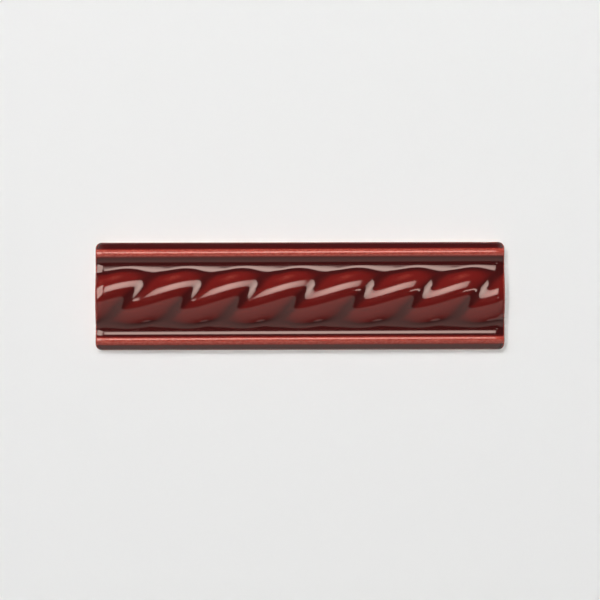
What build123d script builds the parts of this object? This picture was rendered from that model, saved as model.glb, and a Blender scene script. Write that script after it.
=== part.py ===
from build123d import *
from math import acos, asin, cos, degrees, hypot, radians, sin, tan
import os

# Rope moulding tile, in millimetres: one pressed and fired piece, lying on its back.
# +X runs along the tile, +Y across it and +Z out of its face.
tile_length = 152.0
tile_width = 40.0
corner_radius = 2.2

# A small bead runs along each side, and a cove leads from it down to a low line.
low_line_height = 9.6
bead_inset = 3.9
bead_radius = 2.1
bead_height = 1.15
cove_radius = 4.5
flank_angle = 42.0

# From the low line a gutter rises inwards to the bank that carries the rope.
gutter_radius = 9.0
gutter_run = 3.2
bank_radius = 4.0

# The rope on its bank: three strands laid left-handed, which show as leaning bulges.
bulges_per_tile = 7
strands_in_rope = 3
rope_height = 4.4
rope_gap = 2.5
strand_offset = 2.9
valley_radius = 3.0
valley_at_x = 1.0
rope_sections = 24
rope_overrun = 4.0

# The press die's hollow rolls down at both ends, has eased arrises and just clears the rope.
end_roll_radius = 7.3
end_roll_length = 4.0
arris_radius = 0.5
die_clearance = 0.1
die_seam_radius = 3.0

# The back: a chamfered rim, and long keying grooves that the press's lower punch leaves.
back_chamfer = 0.6
back_margin = 5.0
groove_count = 4
groove_depth = 1.2
groove_draft = 20.0
land_width = 3.0

# Two places nearer than this are the same place, and a steeper edge than this stands upright.
same_place = 0.001
upright = 0.9

# Worked out from the sizes above.
half_length = tile_length / 2
half_width = tile_width / 2
bead_centre = half_width - bead_inset
cove_turn = acos(1 - bead_height / (bead_radius + cove_radius))
low_line = bead_centre - (bead_radius + cove_radius) * sin(cove_turn)
gutter_turn = asin(gutter_run / gutter_radius)
rope_half_width = low_line - rope_gap
rope_radius = (rope_half_width**2 + rope_height**2) / (2 * rope_height)
rope_crest = low_line_height + rope_height
rope_axis = rope_crest - rope_radius
lay_length = strands_in_rope * tile_length / bulges_per_tile
long_length = tile_length + 2 * rope_overrun
bow_radius = rope_radius + die_clearance
roll_start = half_length - end_roll_length
roll_turn = degrees(asin(end_roll_length / end_roll_radius))


def across(x):
    """The tile's cross-section plane at x: local x is the tile's +Y, local y its +Z."""
    return Plane(origin=(x, 0, 0), x_dir=(0, 1, 0), z_dir=(1, 0, 0))


def on_arc(centre, radius, turn):
    """The point on a circle at that turn, in radians, from straight up towards the tile's side."""
    return (centre[0] + radius * sin(turn), centre[1] + radius * cos(turn))


def moulding_profile():
    """Half a section: side, flank, bead, cove, gutter and bank, mirrored to the other half."""
    foot = (low_line, low_line_height)
    cove_middle = (low_line, low_line_height + cove_radius)
    bend = on_arc(cove_middle, -cove_radius, -cove_turn)
    bead_middle = (bead_centre, bend[1] - bead_radius * cos(cove_turn))
    flank_top = on_arc(bead_middle, bead_radius, radians(flank_angle))
    flank_fall = (half_width - flank_top[0]) * tan(radians(flank_angle))
    arris = (half_width, flank_top[1] - flank_fall)
    gutter_middle = (low_line, low_line_height + gutter_radius)
    gutter_top = on_arc(gutter_middle, -gutter_radius, gutter_turn)
    bank_middle = on_arc(gutter_top, -bank_radius, gutter_turn)
    bank_top = on_arc(bank_middle, bank_radius, 0)
    outline = Line((half_width, 0), arris) + Line(arris, flank_top)
    outline += ThreePointArc(flank_top, on_arc(bead_middle, bead_radius, 0), bend)
    outline += ThreePointArc(bend, on_arc(cove_middle, -cove_radius, -cove_turn / 2), foot)
    outline += ThreePointArc(
        foot, on_arc(gutter_middle, -gutter_radius, gutter_turn / 2), gutter_top
    )
    outline += ThreePointArc(gutter_top, on_arc(bank_middle, bank_radius, gutter_turn / 2), bank_top)
    outline += Polyline(bank_top, (0, bank_top[1]), (0, 0), (half_width, 0))
    half = make_face(outline)
    return half + mirror(half, Plane.YZ)


def rope():
    """A loft through one lobed section of three fused strands, turned a little at each step."""
    strand = Pos(strand_offset, 0) * Circle(rope_radius - strand_offset)
    strands = [Rot(0, 0, 360 / strands_in_rope * k) * strand for k in range(strands_in_rope)]
    section = Sketch() + strands
    section = fillet(section.vertices(), valley_radius)
    valley_angle = 180 / strands_in_rope
    steps = []
    for k in range(rope_sections + 1):
        x = long_length * (k / rope_sections - 0.5)
        turn = 90 - valley_angle - 360 * (x - valley_at_x) / lay_length
        steps.append((across(x) * Pos(0, rope_axis) * Rot(0, 0, turn) * section).face())
    return loft(steps)


def moulded_front():
    """The profile and the rope in one, longer than the tile."""
    bed = extrude(across(-long_length / 2) * moulding_profile(), long_length, dir=(1, 0, 0))
    rope_space = Box(
        long_length, 2 * low_line, 2 * rope_crest, align=(Align.CENTER, Align.CENTER, Align.MIN)
    )
    return (bed + (rope() & rope_space)).solid()


def die_hollow():
    """The hollow of the press die: a section that rolls down at both ends, inside a rounded wall."""
    above_low_line = Pos(0, low_line_height) * Rectangle(
        2 * low_line, rope_crest, align=(Align.CENTER, Align.MIN)
    )
    bow = Pos(0, rope_axis) * Circle(bow_radius)
    section = moulding_profile() + (bow & above_low_line)
    section = fillet(section.vertices().filter_by(is_bow_foot), die_seam_radius)
    middle = extrude(across(-roll_start) * section, 2 * roll_start, dir=(1, 0, 0))
    roll = Plane.XZ * CenterArc((roll_start, -end_roll_radius), end_roll_radius, 90, -roll_turn)
    end = sweep(across(roll_start) * section, path=roll, normal=(1, 0, 0))
    wall = extrude(RectangleRounded(tile_length, tile_width, corner_radius), 2 * rope_crest)
    hollow = ((middle + end + mirror(end, Plane.YZ)) & wall).solid()
    return hollow.fillet(arris_radius, hollow.edges().filter_by(is_arris))


def is_bow_foot(corner):
    """A corner of the section on the bow over the rope, where the moulding's profile meets it."""
    return abs(hypot(corner.X, corner.Y - rope_axis) - bow_radius) < same_place


def is_arris(edge):
    """An edge along the top of the die's wall, where the face meets it."""
    on_wall = all(abs(inside_wall(edge @ share)) < same_place for share in (0, 0.5, 1))
    return on_wall and (edge @ 0.5).Z > same_place and abs((edge % 0.5).Z) < upright


def inside_wall(point):
    """How far a point lies inside the tile's plan, a rectangle with rounded corners."""
    past_x = abs(point.X) - half_length + corner_radius
    past_y = abs(point.Y) - half_width + corner_radius
    return corner_radius - hypot(max(past_x, 0), max(past_y, 0)) - min(max(past_x, past_y), 0)


def keying_grooves():
    """Shallow grooves along the back, with sloping walls, and narrow lands left between them."""
    groove_width = (tile_width - 2 * back_margin - (groove_count - 1) * land_width) / groove_count
    places = GridLocations(0, groove_width + land_width, 1, groove_count)
    mouths = Sketch() + places * Rectangle(tile_length - 2 * back_margin, groove_width)
    return extrude(mouths, groove_depth, taper=groove_draft)


def rope_moulding_tile():
    """The front that the die shapes, with a chamfered and grooved back."""
    tile = (moulded_front() & die_hollow()).solid()
    back_rim = tile.edges().filter_by(lambda edge: edge.bounding_box().max.Z < same_place)
    return tile.chamfer(back_chamfer, None, back_rim) - keying_grooves()


os.makedirs("parts", exist_ok=True)
export_step(rope_moulding_tile(), "parts/rope_moulding_tile.step")
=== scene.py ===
import math

import bpy
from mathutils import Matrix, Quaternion, Vector


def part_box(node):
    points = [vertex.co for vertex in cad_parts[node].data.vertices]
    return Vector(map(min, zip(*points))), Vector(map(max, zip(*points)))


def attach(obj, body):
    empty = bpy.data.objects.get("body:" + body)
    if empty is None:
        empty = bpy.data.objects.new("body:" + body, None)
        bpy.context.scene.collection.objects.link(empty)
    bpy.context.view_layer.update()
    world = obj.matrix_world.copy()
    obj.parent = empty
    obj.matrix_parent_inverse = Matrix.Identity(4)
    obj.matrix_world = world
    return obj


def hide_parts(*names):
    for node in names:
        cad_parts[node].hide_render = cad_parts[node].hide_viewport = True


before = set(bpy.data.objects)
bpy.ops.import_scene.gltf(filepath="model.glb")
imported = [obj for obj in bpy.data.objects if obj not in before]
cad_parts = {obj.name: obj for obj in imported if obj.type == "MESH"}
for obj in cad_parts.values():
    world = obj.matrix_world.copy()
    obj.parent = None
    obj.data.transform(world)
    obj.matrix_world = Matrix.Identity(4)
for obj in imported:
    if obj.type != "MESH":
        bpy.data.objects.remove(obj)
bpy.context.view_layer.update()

# Pressed tile: one piece of dust-pressed earthenware, fired twice. A steel die gives it the beads,
# coves and rope in one stroke, and the lower punch leaves long keying grooves in its back.
# It is dipped face down in an oxblood glaze, which coats the face and sides and leaves the back bare.
MM = 0.001

low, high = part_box("rope_moulding_tile")
tile_length = high.x - low.x
tile_width = high.y - low.y

press_sizes = {
    # The plan, its eased edges and the roll down at each end.
    "Length": tile_length,
    "Width": tile_width,
    "Corner Radius": 2.2 * MM,
    "Arris Radius": 0.5 * MM,
    "End Roll Radius": 7.3 * MM,
    "End Roll Length": 4.0 * MM,
    # How far the whole relief sits off the middle, and its lean along the tile.
    "Relief Shift": -0.24 * MM,
    "Relief Lean": 0.002,
    # The section: the low line's place and height, the cove, bead and flank outside it, and the
    # gutter and bank inside it.
    "Low Line": 12.08 * MM,
    "Low Line Height": 9.32 * MM,
    "Cove Radius": 4.96 * MM,
    "Bead Inset": 3.9 * MM,
    "Bead Radius": 2.1 * MM,
    "Flank Slope": math.tan(math.radians(42.0)),
    "Gutter Radius": 3.5 * MM,
    "Gutter Run": 0.45 * MM,
    "Bank Run": 9.0 * MM,
    # The rope: its crest and place, how far a strand is thrown aside, rises and sinks as it winds,
    # and how steeply it dives where the others cover it.
    "Rope Crest": 13.93 * MM,
    "Rope Shift": -0.16 * MM,
    "Strand Radius": 10.25 * MM,
    "Strand Throw": 3.07 * MM,
    "Strand Rise": 2.35 * MM,
    "Strand Sink": 0.32 * MM,
    "Covered Dive": 8.0 * MM,
    "Strand Pitch": 21.43 * MM,
    # The valleys between the bulges, whose blend grows over Valley Reach from Valley Middle outwards,
    # the seat of the rope on its bank, and a slow wander in the lay.
    "Valley Place": 0.7 * MM,
    "Valley Blend": 1.86 * MM,
    "Valley Growth": 0.61,
    "Valley Middle": 3.46 * MM,
    "Valley Reach": 5.0 * MM,
    "Seat Blend": 2.09 * MM,
    "Lay Wander": 0.4 * MM,
    "Wander Length": 85.9 * MM,
    # The glaze: its ripple, how it runs off slopes, draws back from arrises and gathers again, and
    # painted light.
    "Glaze Ripple": 0.008 * MM,
    "Ripple Length": 9.0 * MM,
    "Even Coat": 0.85,
    "Steepest Run": 0.6,
    "Run Off": 0.13 * MM,
    # Painted light: how far the glaze is thinned, so lightened, on the slopes that face the lamps at
    # the upper left.
    "Painted Light": 0.045 * MM,
    "Draw Back": 0.3 * MM,
    "Flank Pool": 0.07 * MM,
    # The back: its chamfered rim and its keying grooves.
    "Back Chamfer": 0.6 * MM,
    "Back Margin": 5.0 * MM,
    "Land Width": 3.0 * MM,
    "Groove Depth": 1.2 * MM,
    "Groove Wall": 0.5 * MM,
}

# The rope's strands. One is covered by the others past this cosine of its turn, and crest_ease is how
# softly its rise gives way to its smaller sink. The lay's wander starts at this angle, in radians.
strands = 3
covered_past = -0.5
crest_ease = 0.06
wander_start = 1.74

# Painted light: the glaze is drawn thinner, so lighter, on the slopes that face this way, where the
# lamps are, to stand in for how those slopes catch the light. A face whose normal points up by less
# than bare_below stays bare.
painted_light_side = (-1.0, 0.4, 0.0)
bare_below = -0.3

# The back's grooves: one takes up the length, and four lie side by side across it.
grooves_along, grooves_across = 1, 4

# The lattice that is pressed: its cells over the face, those round each arris, its levels from back
# to face, and how many rings of cells the average of the relief takes in.
cell_along = 0.45 * MM
cell_across = 0.34 * MM
arris_cells = 4
levels = 8
average_rings = 12

MATH = "ShaderNodeMath"
VECTOR = "ShaderNodeVectorMath"


def add(tree, kind, feeds=(), **settings):
    """Adds one node: its settings, then its inputs in order or by name, as links or as values."""
    node = tree.nodes.new(kind)
    for name, value in settings.items():
        setattr(node, name, value)
    open_sockets = [socket for socket in node.inputs if socket.enabled]
    pairs = feeds.items() if isinstance(feeds, dict) else enumerate(feeds)
    for key, value in pairs:
        socket = open_sockets[key] if isinstance(key, int) else node.inputs[key]
        if isinstance(value, bpy.types.Node):
            value = next(output for output in value.outputs if output.enabled)
        if isinstance(value, bpy.types.NodeSocket):
            tree.links.new(value, socket)
        else:
            socket.default_value = value
    return node


def arc_fall(tree, run, radius):
    """How far a circle of that radius has left its tangent after that run along the tangent."""
    run_square = add(tree, MATH, [run, run], operation="MULTIPLY")
    left = add(tree, MATH, [radius, radius], operation="MULTIPLY")
    left = add(tree, MATH, [left, run_square], operation="SUBTRACT")
    left = add(tree, MATH, [left, 0.0], operation="MAXIMUM")
    left = add(tree, MATH, [left], operation="SQRT")
    return add(tree, MATH, [radius, left], operation="SUBTRACT")


# The press takes the sizes by name, and the two finishes that it leaves on the piece.
press = bpy.data.node_groups.new("pressed tile", "GeometryNodeTree")
press.is_modifier = True
press.interface.new_socket("Geometry", in_out="OUTPUT", socket_type="NodeSocketGeometry")
socket_of = {
    name: press.interface.new_socket(name, in_out="INPUT", socket_type="NodeSocketFloat").identifier
    for name in press_sizes
}
for name in ("Glaze", "Biscuit"):
    socket_of[name] = press.interface.new_socket(
        name, in_out="INPUT", socket_type="NodeSocketMaterial"
    ).identifier
size = add(press, "NodeGroupInput").outputs

# The lattice starts as a box of unit cells about the origin, whose level runs from 0 at the back to 1
# at the face. The cells are spread evenly along and across the tile, except that the last few at
# each edge crowd round the arris.
cells_along = round(tile_length / cell_along) + 2 * arris_cells
cells_across = round(tile_width / cell_across) + 2 * arris_cells
box = add(
    press,
    "GeometryNodeMeshCube",
    [(cells_along, cells_across, 1.0), cells_along + 1, cells_across + 1, levels + 1],
)
place = add(press, "ShaderNodeSeparateXYZ", [add(press, "GeometryNodeInputPosition")]).outputs
level = add(press, MATH, [place["Z"], 0.5], operation="ADD")
halves = []
sides = []
squares = []
for axis, extent, cells in (("X", "Length", cells_along), ("Y", "Width", cells_across)):
    half = add(press, MATH, [size[extent], 0.5], operation="MULTIPLY")
    halves.append(half)
    sides.append(add(press, MATH, [place[axis]], operation="SIGN"))
    cell = add(press, MATH, [place[axis]], operation="ABSOLUTE")
    even_cells = cells / 2 - arris_cells
    even = add(press, MATH, [cell, even_cells], operation="MINIMUM")
    even = add(press, MATH, [even, even_cells], operation="DIVIDE")
    reach = add(press, MATH, [half, size["Arris Radius"]], operation="SUBTRACT")
    even = add(press, MATH, [even, reach], operation="MULTIPLY")
    turn = add(press, MATH, [cell, even_cells], operation="SUBTRACT")
    turn = add(press, MATH, [turn, 0.0], operation="MAXIMUM")
    turn = add(press, MATH, [turn, math.pi / 2 / arris_cells], operation="MULTIPLY")
    turn = add(press, MATH, [turn], operation="SINE")
    squares.append(add(press, MATH, [turn, size["Arris Radius"], even], operation="MULTIPLY_ADD"))

# Each corner of the plan is a square of the lattice drawn in to a quarter disc: a point u, v of the
# unit square goes to u sqrt(1 - v v / 2), and the same the other way round.
corners = []
for half, square in zip(halves, squares):
    corner = add(press, MATH, [half, size["Corner Radius"]], operation="SUBTRACT")
    corner = add(press, MATH, [square, corner], operation="SUBTRACT")
    corners.append(
        add(press, MATH, [corner, size["Corner Radius"]], operation="DIVIDE", use_clamp=True)
    )
outs = []
signed = []
for own, other in ((0, 1), (1, 0)):
    drawn = add(press, MATH, [corners[other], corners[other]], operation="MULTIPLY")
    drawn = add(press, MATH, [drawn, -0.5, 1.0], operation="MULTIPLY_ADD")
    drawn = add(press, MATH, [drawn], operation="SQRT")
    drawn = add(press, MATH, [drawn, 1.0], operation="SUBTRACT")
    drawn = add(press, MATH, [drawn, corners[own]], operation="MULTIPLY")
    outs.append(
        add(press, MATH, [drawn, size["Corner Radius"], squares[own]], operation="MULTIPLY_ADD")
    )
    signed.append(add(press, MATH, [outs[own], sides[own]], operation="MULTIPLY"))
out_x, out_y = outs
x, y = signed

# The die sat a hair off the blank's middle and a hair askew, so all the relief does too.
askew = add(press, MATH, [x, size["Relief Lean"], size["Relief Shift"]], operation="MULTIPLY_ADD")
relief_y = add(press, MATH, [y, askew], operation="SUBTRACT")
relief_out = add(press, MATH, [relief_y], operation="ABSOLUTE")

# The section inside the low line: a gutter that curves up, then the bank, which goes on at the
# gutter's last slope and eases off to level over its run.
inwards = add(press, MATH, [size["Low Line"], relief_out], operation="SUBTRACT")
inwards = add(press, MATH, [inwards, 0.0], operation="MAXIMUM")
gutter_run = add(press, MATH, [inwards, size["Gutter Run"]], operation="MINIMUM")
gutter = arc_fall(press, gutter_run, size["Gutter Radius"])
gutter_foot = arc_fall(press, size["Gutter Run"], size["Gutter Radius"])
bank_slope = add(press, MATH, [size["Gutter Radius"], gutter_foot], operation="SUBTRACT")
bank_slope = add(press, MATH, [size["Gutter Run"], bank_slope], operation="DIVIDE")
bank_run = add(press, MATH, [inwards, size["Gutter Run"]], operation="SUBTRACT")
bank_run = add(press, MATH, [bank_run, size["Bank Run"]], operation="DIVIDE", use_clamp=True)
bank = add(press, MATH, [bank_run, -0.5, 1.0], operation="MULTIPLY_ADD")
bank = add(press, MATH, [bank, bank_run], operation="MULTIPLY")
bank = add(press, MATH, [bank, size["Bank Run"]], operation="MULTIPLY")
bank = add(press, MATH, [bank, bank_slope, gutter], operation="MULTIPLY_ADD")

# The section outside the low line: the cove bends over into the bead, and the flank leaves the bead
# on its tangent and falls to the tile's side.
bead_y = add(press, MATH, [halves[1], size["Bead Inset"]], operation="SUBTRACT")
radii = add(press, MATH, [size["Bead Radius"], size["Cove Radius"]], operation="ADD")
bead_away = add(press, MATH, [bead_y, size["Low Line"]], operation="SUBTRACT")
bead_crown = arc_fall(press, bead_away, radii)
bend_share = add(press, MATH, [size["Cove Radius"], radii], operation="DIVIDE")
bend_y = add(press, MATH, [bead_away, bend_share, size["Low Line"]], operation="MULTIPLY_ADD")
cove_run = add(press, MATH, [relief_out, size["Low Line"]], operation="SUBTRACT")
cove_run = add(press, MATH, [cove_run, 0.0], operation="MAXIMUM")
cove = add(press, MATH, [arc_fall(press, cove_run, size["Cove Radius"]), bank], operation="ADD")
bead_run = add(press, MATH, [relief_out, bead_y], operation="SUBTRACT")
bead = arc_fall(press, bead_run, size["Bead Radius"])
bead = add(press, MATH, [bead_crown, bead], operation="SUBTRACT")
slope_length = add(press, MATH, [size["Flank Slope"], size["Flank Slope"]], operation="MULTIPLY")
slope_length = add(press, MATH, [slope_length, 1.0], operation="ADD")
slope_length = add(press, MATH, [slope_length], operation="SQRT")
flank = add(press, MATH, [slope_length, 1.0], operation="SUBTRACT")
flank = add(press, MATH, [flank, size["Bead Radius"], bead_crown], operation="MULTIPLY_ADD")
flank_fall = add(press, MATH, [bead_run, size["Flank Slope"]], operation="MULTIPLY")
flank = add(press, MATH, [flank, flank_fall], operation="SUBTRACT")
flank_share = add(press, MATH, [size["Flank Slope"], slope_length], operation="DIVIDE")
flank_y = add(press, MATH, [size["Bead Radius"], flank_share, bead_y], operation="MULTIPLY_ADD")
past_bend = add(press, MATH, [relief_out, bend_y], operation="GREATER_THAN")
past_bead = add(press, MATH, [relief_out, flank_y], operation="GREATER_THAN")
section = add(press, "ShaderNodeMix", [past_bend, cove, bead], data_type="FLOAT")
section = add(press, "ShaderNodeMix", [past_bead, section, flank], data_type="FLOAT")
section = add(press, MATH, [section, size["Low Line Height"]], operation="ADD")

# The rope: round strands that wind about one axis, the height of each as it passes. A strand rises
# to the crest above that axis, sinks less below it, and dives where the others cover it.
wander = add(press, MATH, [x, size["Wander Length"]], operation="DIVIDE")
wander = add(press, MATH, [wander, 2 * math.pi, wander_start], operation="MULTIPLY_ADD")
wander = add(press, MATH, [wander], operation="SINE")
laid_x = add(press, MATH, [wander, size["Lay Wander"], x], operation="MULTIPLY_ADD")
laid_x = add(press, MATH, [laid_x, size["Valley Place"]], operation="SUBTRACT")
laid_x = add(press, MATH, [laid_x, size["Strand Pitch"]], operation="DIVIDE")
axis_z = add(press, MATH, [size["Rope Crest"], size["Strand Rise"]], operation="SUBTRACT")
even_travel = add(press, MATH, [size["Strand Rise"], size["Strand Sink"]], operation="ADD")
even_travel = add(press, MATH, [even_travel, 0.5], operation="MULTIPLY")
extra_travel = add(press, MATH, [size["Strand Rise"], even_travel], operation="SUBTRACT")
rope_y = add(press, MATH, [relief_y, size["Rope Shift"]], operation="SUBTRACT")
valley = add(press, MATH, [relief_out, size["Valley Middle"]], operation="SUBTRACT")
valley = add(press, MATH, [valley, size["Valley Reach"]], operation="DIVIDE", use_clamp=True)
valley = add(press, MATH, [valley, size["Valley Growth"], 1.0], operation="MULTIPLY_ADD")
valley = add(press, MATH, [valley, size["Valley Blend"]], operation="MULTIPLY")
rope = None
for strand in range(strands):
    turn = add(press, MATH, [laid_x, strand + 0.5], operation="SUBTRACT")
    turn = add(press, MATH, [turn, strands / 2, -strands / 2], operation="WRAP")
    turn = add(press, MATH, [turn, 2 * math.pi / strands], operation="MULTIPLY")
    lean = add(press, MATH, [turn, -math.pi / 2], operation="MAXIMUM")
    lean = add(press, MATH, [lean, math.pi / 2], operation="MINIMUM")
    lean = add(press, MATH, [lean], operation="SINE")
    lean = add(press, MATH, [lean, size["Strand Throw"]], operation="MULTIPLY")
    facing = add(press, MATH, [turn], operation="COSINE")
    above = add(press, MATH, [facing, facing, crest_ease], operation="MULTIPLY_ADD")
    above = add(press, MATH, [above], operation="SQRT")
    lift = add(press, MATH, [facing, even_travel, axis_z], operation="MULTIPLY_ADD")
    lift = add(press, MATH, [above, extra_travel, lift], operation="MULTIPLY_ADD")
    covered = add(press, MATH, [covered_past, facing], operation="SUBTRACT")
    covered = add(press, MATH, [covered, 0.0], operation="MAXIMUM")
    covered = add(press, MATH, [covered, covered], operation="MULTIPLY")
    covered = add(press, MATH, [covered, size["Covered Dive"]], operation="MULTIPLY")
    lift = add(press, MATH, [lift, covered], operation="SUBTRACT")
    reach = add(press, MATH, [rope_y, lean], operation="SUBTRACT")
    top = arc_fall(press, reach, size["Strand Radius"])
    top = add(press, MATH, [lift, top], operation="SUBTRACT")
    if rope is None:
        rope = top
    else:
        rope = add(press, MATH, [rope, top, valley], operation="SMOOTH_MAX")
relief = add(press, MATH, [rope, section, size["Seat Blend"]], operation="SMOOTH_MAX")

# The ends roll down before they meet the arris, which follows the plan all the way round.
roll_start = add(press, MATH, [halves[0], size["End Roll Length"]], operation="SUBTRACT")
roll_run = add(press, MATH, [out_x, roll_start], operation="SUBTRACT")
roll_run = add(press, MATH, [roll_run, 0.0], operation="MAXIMUM")
roll = arc_fall(press, roll_run, size["End Roll Radius"])
face = add(press, MATH, [relief, roll], operation="SUBTRACT")
beyond = []
for half, out in zip(halves, outs):
    past = add(press, MATH, [half, size["Corner Radius"]], operation="SUBTRACT")
    beyond.append(add(press, MATH, [out, past], operation="SUBTRACT"))
past_corner = add(press, "ShaderNodeCombineXYZ", [*beyond, 0.0])
past_corner = add(press, VECTOR, [past_corner, (0.0, 0.0, 0.0)], operation="MAXIMUM")
past_corner = add(press, VECTOR, [past_corner], operation="LENGTH").outputs["Value"]
short_of = add(press, MATH, beyond, operation="MAXIMUM")
short_of = add(press, MATH, [short_of, 0.0], operation="MINIMUM")
outline_gap = add(press, MATH, [past_corner, short_of], operation="ADD")
outline_gap = add(press, MATH, [size["Corner Radius"], outline_gap], operation="SUBTRACT")
arris_run = add(press, MATH, [size["Arris Radius"], outline_gap], operation="SUBTRACT")
arris_run = add(press, MATH, [arris_run, 0.0], operation="MAXIMUM")
arris_run = add(press, MATH, [arris_run, size["Arris Radius"]], operation="MINIMUM")
arris = arc_fall(press, arris_run, size["Arris Radius"])
face = add(press, MATH, [face, arris], operation="SUBTRACT")

# The faint ripple that the molten glaze sets with.
ripple_scale = add(press, MATH, [1.0, size["Ripple Length"]], operation="DIVIDE")
flat_place = add(press, "ShaderNodeCombineXYZ", [x, y, 0.0])
ripple = add(
    press, "ShaderNodeTexNoise", {"Vector": flat_place, "Scale": ripple_scale, "Detail": 0.0}
)
ripple = add(press, MATH, [ripple.outputs[0], 0.5], operation="SUBTRACT")
face = add(press, MATH, [ripple, size["Glaze Ripple"], face], operation="MULTIPLY_ADD")

# The back: grooves with sloping walls, whose depth grows with the distance from the nearest land.
# With an even number of grooves across, a land lies on the middle, and with an odd one a groove.
from_land = []
for out, half, grooves in ((x, halves[0], grooves_along), (y, halves[1], grooves_across)):
    limit = add(press, MATH, [half, size["Back Margin"]], operation="SUBTRACT")
    pitch = add(press, MATH, [limit, 2.0, size["Land Width"]], operation="MULTIPLY_ADD")
    pitch = add(press, MATH, [pitch, grooves], operation="DIVIDE")
    cell = add(press, MATH, [out, pitch], operation="DIVIDE")
    cell = add(press, MATH, [cell, 0.5 if grooves % 2 == 0 else 0.0], operation="ADD")
    nearest = add(press, MATH, [cell], operation="ROUND")
    offset = add(press, MATH, [cell, nearest], operation="SUBTRACT")
    offset = add(press, MATH, [offset], operation="ABSOLUTE")
    offset = add(press, MATH, [offset, pitch], operation="MULTIPLY")
    room = add(press, MATH, [pitch, size["Land Width"]], operation="SUBTRACT")
    inside = add(press, MATH, [room, 0.5], operation="MULTIPLY")
    inside = add(press, MATH, [inside, offset], operation="SUBTRACT")
    in_margin = add(press, MATH, [out], operation="ABSOLUTE")
    in_margin = add(press, MATH, [limit, in_margin], operation="SUBTRACT")
    from_land.append(add(press, MATH, [inside, in_margin], operation="MINIMUM"))
wall = add(press, MATH, from_land, operation="MINIMUM")
wall = add(press, MATH, [wall, size["Groove Wall"]], operation="DIVIDE", use_clamp=True)
back = add(press, MATH, [wall, size["Groove Depth"]], operation="MULTIPLY")

# Sides and chamfer: each level of the lattice is its share of the way from back to face, and the
# lowest one is drawn in by the chamfer.
front_share = add(press, MATH, [level, face], operation="MULTIPLY")
back_share = add(press, MATH, [1.0, level], operation="SUBTRACT")
z = add(press, MATH, [back_share, back, front_share], operation="MULTIPLY_ADD")
at_foot = add(press, MATH, [level, 0.5 / levels], operation="LESS_THAN")
draw_in = add(press, MATH, [at_foot, size["Back Chamfer"]], operation="MULTIPLY")
foot = []
for out, half in zip(signed, halves):
    share = add(press, MATH, [draw_in, half], operation="DIVIDE")
    share = add(press, MATH, [1.0, share], operation="SUBTRACT")
    foot.append(add(press, MATH, [out, share], operation="MULTIPLY"))
shaped = add(press, "ShaderNodeCombineXYZ", [*foot, z])

# Glaze pool: how far the relief lies below its own average, so positive in a hollow. The glaze
# draws back from the arris all round the face and gathers again along the flanks outside the beads.
# It lies even on the tile's own sides. All this follows the lattice, so it is stored before the
# lattice is pressed to its shape.
average = add(press, "GeometryNodeBlurAttribute", [relief, average_rings], data_type="FLOAT")
pool = add(press, MATH, [average, relief], operation="SUBTRACT")
drawn_back = add(press, MATH, [outline_gap, size["Arris Radius"]], operation="DIVIDE")
drawn_back = add(press, MATH, [1.0, drawn_back], operation="SUBTRACT", use_clamp=True)
drawn_back = add(press, MATH, [drawn_back, size["Draw Back"]], operation="MULTIPLY")
pool = add(press, MATH, [pool, drawn_back], operation="SUBTRACT")
on_flank = add(press, MATH, [relief_out, flank_y], operation="SUBTRACT")
on_flank = add(press, MATH, [on_flank, size["Arris Radius"]], operation="DIVIDE", use_clamp=True)
pool = add(press, MATH, [on_flank, size["Flank Pool"], pool], operation="MULTIPLY_ADD")
on_face = add(press, MATH, [level, 1 - 0.5 / levels], operation="GREATER_THAN")
pool = add(press, MATH, [pool, on_face], operation="MULTIPLY")
body = add(
    press,
    "GeometryNodeStoreNamedAttribute",
    {"Geometry": box, "Name": "glaze_pool_and_painted_light", "Value": pool},
    data_type="FLOAT",
    domain="POINT",
)
body = add(press, "GeometryNodeSetPosition", {"Geometry": body, "Position": shaped})

# The pressed slopes change the pool: the glaze runs thin on the steep sides of the rope. The slopes
# that face the tile's upper left corner, where the lamps are, are drawn thinner still, so lighter:
# that is painted light.
normal = add(press, "GeometryNodeInputNormal").outputs[0]
normal_z = add(press, "ShaderNodeSeparateXYZ", [normal]).outputs["Z"]
painted_light = add(press, VECTOR, [normal, painted_light_side], operation="DOT_PRODUCT").outputs["Value"]
painted_light = add(press, MATH, [painted_light, 0.0], operation="MAXIMUM")
painted_light = add(press, MATH, [painted_light, size["Painted Light"]], operation="MULTIPLY")
flatness = add(press, MATH, [normal_z, size["Steepest Run"]], operation="MAXIMUM")
flatness = add(press, MATH, [flatness, size["Even Coat"]], operation="SUBTRACT")
pool = add(press, "GeometryNodeInputNamedAttribute", ["glaze_pool_and_painted_light"], data_type="FLOAT")
pool = add(press, MATH, [flatness, size["Run Off"], pool], operation="MULTIPLY_ADD")
pool = add(press, MATH, [pool, painted_light], operation="SUBTRACT")
body = add(
    press,
    "GeometryNodeStoreNamedAttribute",
    {"Geometry": body, "Name": "glaze_pool_and_painted_light", "Value": pool},
    data_type="FLOAT",
    domain="POINT",
)
faces_down = add(press, MATH, [normal_z, bare_below], operation="LESS_THAN")
body = add(press, "GeometryNodeRealizeInstances", {"Geometry": body})
body = add(press, "GeometryNodeSetMaterial", {"Geometry": body, "Material": size["Glaze"]})
body = add(
    press,
    "GeometryNodeSetMaterial",
    {"Geometry": body, "Selection": faces_down, "Material": size["Biscuit"]},
)
add(press, "NodeGroupOutput", [body])


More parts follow.
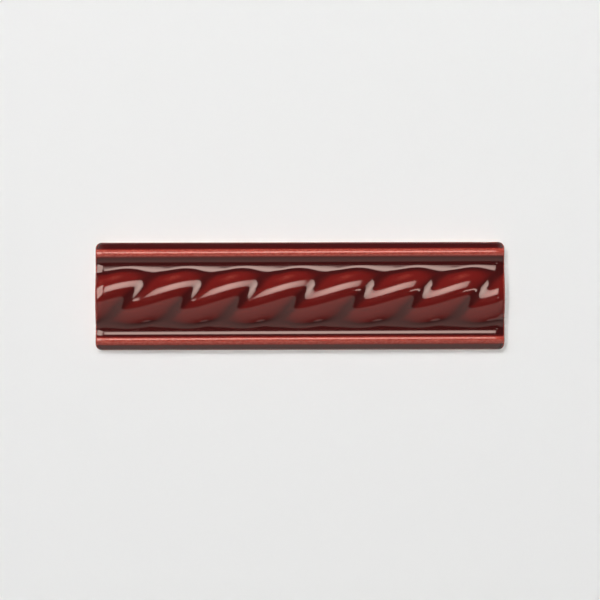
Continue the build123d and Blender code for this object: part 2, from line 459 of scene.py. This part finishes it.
# Oxblood breaking glaze: glossy lead-free earthenware glaze, dipped and fired. It pools dark in the
# hollows, thins to orange-red over beads and arrises, and gives a clear, slightly warm reflection.
# The slopes that face the upper left are also painted lighter, towards the thin colour, as painted
# light.
# A band of bare clay is left under its wavy lower edge, just above the back.
def linear(hex_code):
    """An sRGB hex colour as the linear red, green, blue and alpha that a shader takes."""
    shares = [int(hex_code[i:i + 2], 16) / 255 for i in (1, 3, 5)]
    return [s / 12.92 if s <= 0.04045 else ((s + 0.055) / 1.055) ** 2.4 for s in shares] + [1.0]


# The pool at which the coat has each colour.
even_pool, even_colour = -0.05 * MM, "#661512"
deep_pool, deep_colour = 0.045 * MM, "#3B0D0D"
thin_pool, thin_colours = -0.11 * MM, ("#9A372D", "#A74A3E")

# Where it is thin it shows a stipple of two tones, longer along the tile than across it, which turns
# from one to the other between these values of the noise. The real one is finer than a render
# shows, so it is drawn this coarse.
stipple = 0.6 * MM
stipple_draw = (0.5, 1.0, 1.0)
stipple_low, stipple_high = 0.35, 0.65

# The wavy edge: its waves' length, its lowest height, how far it wanders above that, and how soft
# it is.
edge_wave = 9.0 * MM
edge_foot = 0.2 * MM
edge_travel = 1.6 * MM
edge_softness = 0.05 * MM
clay_colour = "#CDB99D"

glaze_roughness = 0.07
clay_roughness = 0.85

glaze = bpy.data.materials.new("oxblood_breaking_glaze")
glaze.use_nodes = True
glaze.node_tree.nodes.clear()
tree = glaze.node_tree
where = add(tree, "ShaderNodeTexCoord").outputs["Object"]
# The pool holds the glaze's depth and also painted light: slopes that face the upper left read as
# thinner, so lighter.
pool = add(tree, "ShaderNodeAttribute", attribute_name="glaze_pool_and_painted_light").outputs["Fac"]
thin = add(
    tree,
    "ShaderNodeMapRange",
    [pool, even_pool, thin_pool, 0.0, 1.0],
    interpolation_type="SMOOTHSTEP",
)
deep = add(
    tree,
    "ShaderNodeMapRange",
    [pool, even_pool, deep_pool, 0.0, 1.0],
    interpolation_type="SMOOTHSTEP",
)
coat = add(
    tree,
    "ShaderNodeMix",
    [deep, linear(even_colour), linear(deep_colour)],
    data_type="RGBA",
)
drawn = add(tree, VECTOR, [where, stipple_draw], operation="MULTIPLY")
mottle = add(tree, "ShaderNodeTexNoise", {"Vector": drawn, "Scale": 1 / stipple, "Detail": 2.0})
mottle = add(
    tree, "ShaderNodeMapRange", [mottle.outputs[0], stipple_low, stipple_high, 0.0, 1.0]
)
thin_coat = add(
    tree,
    "ShaderNodeMix",
    [mottle, linear(thin_colours[0]), linear(thin_colours[1])],
    data_type="RGBA",
)
coat = add(tree, "ShaderNodeMix", [thin, coat, thin_coat], data_type="RGBA")
edge = add(tree, "ShaderNodeTexNoise", {"Vector": where, "Scale": 1 / edge_wave, "Detail": 2.0})
edge = add(tree, MATH, [edge.outputs[0], edge_travel, edge_foot], operation="MULTIPLY_ADD")
height = add(tree, "ShaderNodeSeparateXYZ", [where]).outputs["Z"]
bare = add(tree, MATH, [edge, height], operation="SUBTRACT")
bare = add(tree, "ShaderNodeMapRange", [bare, -edge_softness, edge_softness, 0.0, 1.0])
colour = add(tree, "ShaderNodeMix", [bare, coat, linear(clay_colour)], data_type="RGBA")
gloss = add(tree, "ShaderNodeMapRange", [bare, 0.0, 1.0, glaze_roughness, clay_roughness])
shader = add(
    tree,
    "ShaderNodeBsdfPrincipled",
    {
        "Base Color": colour,
        "Roughness": gloss,
        "IOR": 1.54,
        "Specular Tint": (1.0, 0.75, 0.66, 1.0),
    },
)
add(tree, "ShaderNodeOutputMaterial", [shader])

# Buff biscuit: the fired clay body, bare on the back, dry and slightly sandy to the eye. The real
# grit is finer than a render shows, so it is drawn this coarse.
grit = 0.8 * MM
cloud = 14.0 * MM
biscuit_light, biscuit_dark = "#D3C0A6", "#C6B093"

biscuit = bpy.data.materials.new("buff_biscuit")
biscuit.use_nodes = True
biscuit.node_tree.nodes.clear()
tree = biscuit.node_tree
where = add(tree, "ShaderNodeTexCoord").outputs["Object"]
sand = add(tree, "ShaderNodeTexNoise", {"Vector": where, "Scale": 1 / grit, "Detail": 4.0})
clouding = add(tree, "ShaderNodeTexNoise", {"Vector": where, "Scale": 1 / cloud, "Detail": 3.0})
tone = add(
    tree,
    "ShaderNodeMix",
    [clouding, linear(biscuit_light), linear(biscuit_dark)],
    data_type="RGBA",
)
bump = add(
    tree,
    "ShaderNodeBump",
    {"Strength": 0.5, "Distance": 0.05 * MM, "Height": sand.outputs[0]},
)
shader = add(
    tree,
    "ShaderNodeBsdfPrincipled",
    {"Base Color": tone, "Roughness": clay_roughness, "IOR": 1.5, "Normal": bump},
)
add(tree, "ShaderNodeOutputMaterial", [shader])

# The blank goes through the press once, and the plain mesh that comes out is the tile.
blank = bpy.data.objects.new("tile_blank", bpy.data.meshes.new("tile_blank"))
bpy.context.scene.collection.objects.link(blank)
pressing = blank.modifiers.new("pressing", "NODES")
pressing.node_group = press
for name, value in press_sizes.items():
    pressing[socket_of[name]] = value
pressing[socket_of["Glaze"]] = glaze
pressing[socket_of["Biscuit"]] = biscuit
evaluated = blank.evaluated_get(bpy.context.evaluated_depsgraph_get())
tile = bpy.data.objects.new("pressed_tile", bpy.data.meshes.new_from_object(evaluated))
bpy.data.objects.remove(blank)
bpy.context.scene.collection.objects.link(tile)
tile.data.shade_smooth()
tile.data.set_sharp_from_angle(angle=math.radians(40.0))
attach(tile, "root")
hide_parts("rope_moulding_tile")

# Floor: a plain pale ground that the tile lies on, which takes its shadow. Seen from below it is
# clear, so that the back can be looked at.
floor_half = 3.0
floor_corners = [
    (-floor_half, -floor_half, 0),
    (floor_half, -floor_half, 0),
    (floor_half, floor_half, 0),
    (-floor_half, floor_half, 0),
]
floor_mesh = bpy.data.meshes.new("floor")
floor_mesh.from_pydata(floor_corners, [], [(0, 1, 2, 3)])
floor = bpy.data.objects.new("floor", floor_mesh)
bpy.context.scene.collection.objects.link(floor)
ground = bpy.data.materials.new("pale_ground")
ground.use_nodes = True
ground.node_tree.nodes.clear()
tree = ground.node_tree
matt = add(tree, "ShaderNodeBsdfDiffuse", {"Color": linear("#E0E0DF")})
clear = add(tree, "ShaderNodeBsdfTransparent")
from_below = add(tree, "ShaderNodeNewGeometry").outputs["Backfacing"]
shader = add(tree, "ShaderNodeMixShader", [from_below, matt, clear])
add(tree, "ShaderNodeOutputMaterial", [shader])
floor_mesh.materials.append(ground)


# Lights: the glaze mirrors a softbox past the tile's upper edge, a second one set cornerwise at the
# left, a small lamp at the right, and a pale board that leans down past the lower edge to a low
# skirt. Lamps that it doesn't mirror light the colours: one overhead, two fills and one below.
def panel(
    name, centre, target, width, height, brightness,
    fade=(0.0, 0.0), brightest=(0.5, 0.5), turned=0.0, mirrored=True, shadow=True,
):
    """A flat lamp at centre that looks at target, turned by that angle about its line of sight.

    Its brightest place is given in shares of its width and height, and fade is the share of its
    brightness that it has lost half its width, or half its height, away from there.
    """
    lamp = bpy.data.lights.new(name, "AREA")
    lamp.shape = "RECTANGLE"
    lamp.size = width
    lamp.size_y = height
    # At this energy the lamp's face has a brightness of 1, which its own shader multiplies.
    lamp.energy = width * height * math.pi
    lamp.use_shadow = shadow
    lamp.use_nodes = True
    tree = lamp.node_tree
    tree.nodes.clear()
    away = add(tree, "ShaderNodeNewGeometry").outputs["Parametric"]
    away = add(tree, VECTOR, [away, (*brightest, 0.0)], operation="SUBTRACT")
    away = add(tree, VECTOR, [away, away], operation="MULTIPLY")
    away = add(tree, "ShaderNodeSeparateXYZ", [away]).outputs
    left = brightness
    for axis, share in zip("XY", fade):
        kept = add(
            tree, MATH, [away[axis], -share / 0.5**2, 1.0], operation="MULTIPLY_ADD", use_clamp=True
        )
        left = add(tree, MATH, [kept, left], operation="MULTIPLY")
    glow = add(tree, "ShaderNodeEmission", {"Strength": left})
    add(tree, "ShaderNodeOutputLight", [glow])
    placed = bpy.data.objects.new(name, lamp)
    placed.location = centre
    facing = (Vector(target) - Vector(centre)).to_track_quat("-Z", "Y")
    placed.rotation_euler = (facing @ Quaternion((0, 0, 1), turned)).to_euler()
    placed.visible_camera = False
    placed.visible_glossy = mirrored
    placed.visible_diffuse = not mirrored
    bpy.context.scene.collection.objects.link(placed)


lamp_height = 0.8
box_left, box_right = -0.332, 0.298
box_near, box_far = 0.217, 0.68
box_middle = Vector(((box_left + box_right) / 2, (box_near + box_far) / 2, lamp_height))
panel(
    "softbox",
    centre=box_middle,
    target=box_middle - Vector((0, 0, lamp_height)),
    width=box_right - box_left,
    height=box_far - box_near,
    brightness=9.2,
    fade=(0.45, 0.4),
)
panel(
    "side_softbox",
    centre=(-0.88, 0.44, lamp_height),
    target=(0, 0, 0),
    width=0.86,
    height=0.86,
    brightness=7.5,
    turned=math.pi / 4,
)
panel(
    "small_lamp",
    centre=(0.36, 0.02, lamp_height),
    target=(0, 0, 0),
    width=0.07,
    height=0.11,
    brightness=7.0,
)
board_near, board_far = -0.255, -1.55
board_width = 3.0
board_slope = math.hypot(board_far - board_near, lamp_height)
board_middle = Vector((0, (board_near + board_far) / 2, lamp_height / 2))
board_faces = Vector((0, lamp_height, board_far - board_near))
panel(
    "board",
    centre=board_middle,
    target=board_middle + board_faces,
    width=board_width,
    height=board_slope,
    brightness=0.92,
    fade=(0.0, 0.45),
    brightest=(0.5, 1.0),
)
skirt_height = 0.14
panel(
    "skirt",
    centre=(0, -1.45, skirt_height),
    target=(0, 0, skirt_height),
    width=board_width,
    height=0.18,
    brightness=0.95,
)

# The lamps that the glaze doesn't mirror. Each has its name, the degrees that it leans from upright
# towards +Y and towards -X, and how bright it makes a level white surface.
fill_distance = 2.4
fill_side = 0.76
for name, lean_y, lean_x, white_level in (
    ("overhead", 9.0, 5.6, 0.73),
    ("upper_fill", 62.0, 0.0, 0.31),
    ("lower_fill", -60.0, 0.0, 0.03),
    ("under", 180.0, 0.0, 0.6),
):
    up = math.radians(lean_y)
    away = Vector((-math.sin(math.radians(lean_x)), math.sin(up), math.cos(up)))
    away.normalize()
    lit_by_one = abs(away.z) * fill_side**2 / fill_distance**2 / math.pi
    panel(
        name,
        centre=away * fill_distance,
        target=(0, 0, 0),
        width=fill_side,
        height=fill_side,
        brightness=white_level / lit_by_one,
        mirrored=False,
        shadow=name == "overhead",
    )

# World: dim and even, so that the lamps alone make the reflections. The camera sees it pale, and the
# glaze does too along the horizon, where the ground goes on, up to these upward shares of a ray.
horizon_low, horizon_high = 0.02, 0.06
world = bpy.data.worlds.new("studio")
bpy.context.scene.world = world
world.use_nodes = True
tree = world.node_tree
tree.nodes.clear()
ray = add(tree, "ShaderNodeLightPath").outputs
towards = add(tree, "ShaderNodeTexCoord").outputs["Generated"]
upwards = add(tree, "ShaderNodeSeparateXYZ", [towards]).outputs["Z"]
horizon = add(tree, "ShaderNodeMapRange", [upwards, horizon_low, horizon_high, 1.0, 0.0])
seen = add(tree, MATH, [ray["Is Glossy Ray"], horizon], operation="MULTIPLY")
seen = add(tree, MATH, [seen, ray["Is Camera Ray"]], operation="ADD")
seen = add(tree, MATH, [seen, ray["Is Transmission Ray"]], operation="ADD", use_clamp=True)
dim = add(tree, "ShaderNodeBackground", {"Color": linear("#FFFFFF"), "Strength": 0.08})
pale = add(tree, "ShaderNodeBackground", {"Color": linear("#E8E6E5"), "Strength": 1.0})
sky = add(tree, "ShaderNodeMixShader", [seen, dim, pale])
add(tree, "ShaderNodeOutputWorld", [sky])

# Camera: straight above the tile's middle, far enough off that its sides hardly show. The frame's
# width is measured at the height of the relief.
camera_height = 1.5
relief_height = 9.0 * MM
frame_width = 222.96 * MM
tile_above_centre = 1.49 * MM
camera_roll = math.radians(0.115)
sensor_width = 36.0
camera = bpy.data.objects.new("camera", bpy.data.cameras.new("camera"))
camera.data.sensor_width = sensor_width
camera.data.lens = sensor_width * camera_height / frame_width
camera.location = (0, -tile_above_centre, camera_height + relief_height)
camera.rotation_euler = (0, 0, -camera_roll)
bpy.context.scene.collection.objects.link(camera)
bpy.context.scene.camera = camera
bpy.context.scene.view_settings.view_transform = "Standard"
